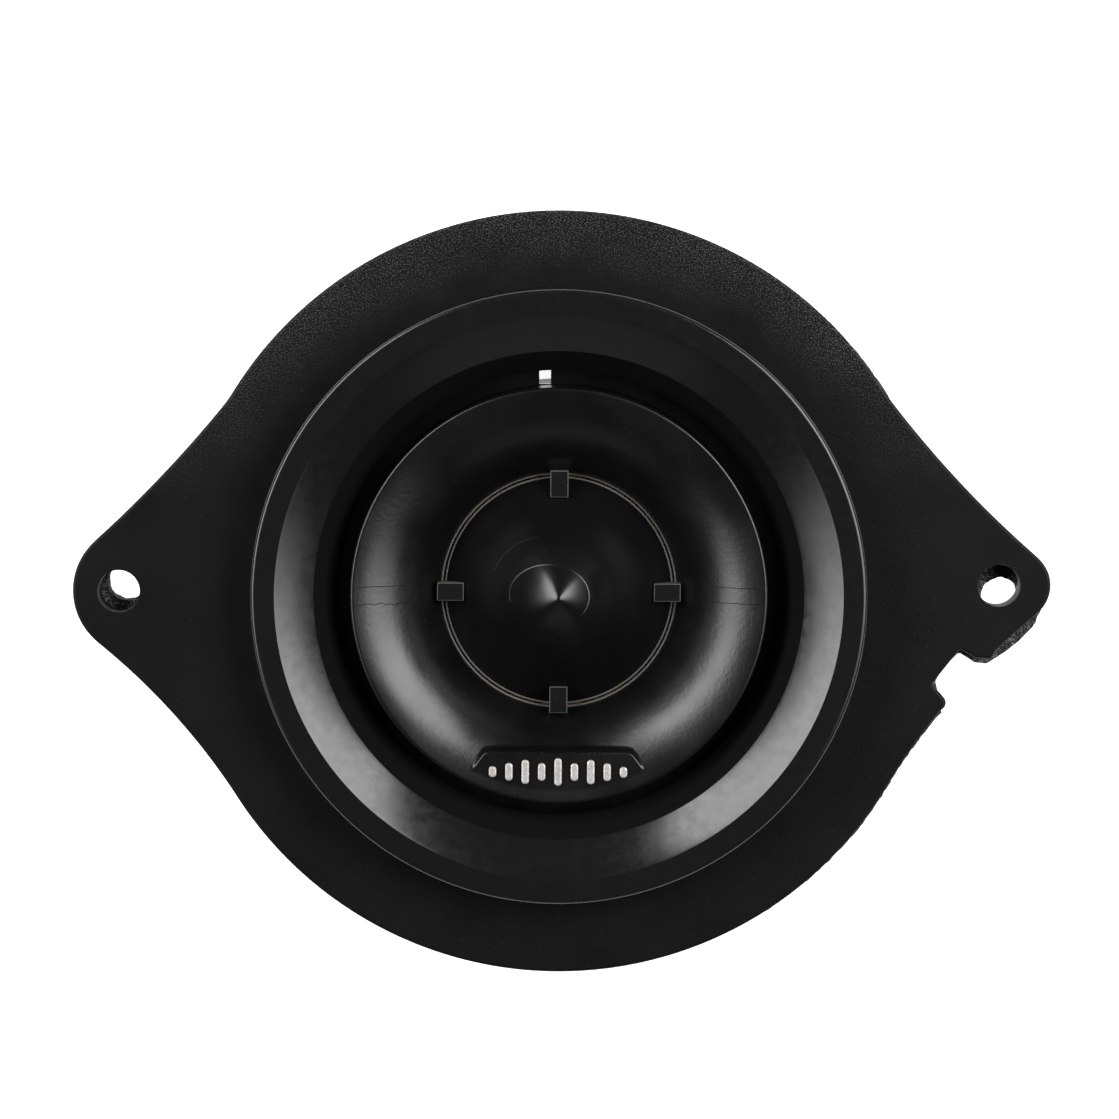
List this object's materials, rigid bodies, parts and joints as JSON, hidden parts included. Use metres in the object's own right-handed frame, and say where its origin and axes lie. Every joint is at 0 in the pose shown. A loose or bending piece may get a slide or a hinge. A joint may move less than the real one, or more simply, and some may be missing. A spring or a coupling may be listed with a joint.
{
  "type": "car tweeter",
  "caption": "Bullet tweeter with a bell horn in a gloss funnel collar, on an eared dashboard plate with a foam gasket, a ferrite motor and push-on terminals.",
  "frame": {"origin": "on the speaker's axis, in the front face of the mounting plate, at the foot of the collar's lip", "axes": "+Z out of the horn towards the listener, +Y the top of the plate, +X to the right seen from the front"},
  "size_m": [0.1167, 0.0912, 0.0326],
  "materials": {
    "plate_abs": "fine-grained matte moulded plastic",
    "foam_black": "closed-cell foam with cut edges",
    "collar_gloss": "glossy moulded plastic",
    "screw_black": "black zinc-plated steel",
    "horn_satin": "satin moulded plastic with faint orange peel",
    "badge_silver": "silver foil, slightly worn",
    "film_amber": "amber polyimide film",
    "seal_fibre": "fibre gasket",
    "ring_phenolic": "phenolic laminate",
    "former_aluminium": "thin aluminium foil",
    "coil_copper": "enamelled wire",
    "steel_zinc": "zinc-plated steel",
    "magnet_ferrite": "bare ferrite",
    "felt_black": "felt",
    "cover_abs": "lightly textured moulded plastic",
    "board_phenolic": "phenolic laminate",
    "terminal_tin": "tinned brass",
    "lead_red": "soft insulated lead",
    "lead_black": "soft insulated lead"
  },
  "bodies": {
    "housing": {"mounting_plate": "plate_abs", "plate_gasket": "foam_black", "front_collar": "collar_gloss", "collar_screws": "screw_black", "horn_body": "horn_satin", "badge_bars": "badge_silver", "horn_screws": "screw_black", "phase_plug": "horn_satin", "surround": "film_amber", "horn_seal": "seal_fibre", "diaphragm_ring": "ring_phenolic", "top_plate": "steel_zinc", "motor_magnet": "magnet_ferrite", "back_plate": "steel_zinc", "pole_felt": "felt_black", "motor_screws": "screw_black", "rear_cover": "cover_abs", "cover_screws": "screw_black", "terminal_board": "board_phenolic", "terminal_positive": "terminal_tin", "terminal_negative": "terminal_tin", "terminal_rivets": "terminal_tin", "board_screws": "screw_black", "lead_positive": "lead_red", "lead_negative": "lead_black"},
    "diaphragm": {"diaphragm_dome": "film_amber", "voice_coil_former": "former_aluminium", "voice_coil_winding": "coil_copper"}
  },
  "joints": [
    {"name": "diaphragm_travel", "type": "slide", "parent": "housing", "child": "diaphragm", "axis": [0, 0, 1], "range_m": [-0.0003, 0.0003], "stiffness_N_per_m": 200, "deforming": ["surround"]}
  ]
}
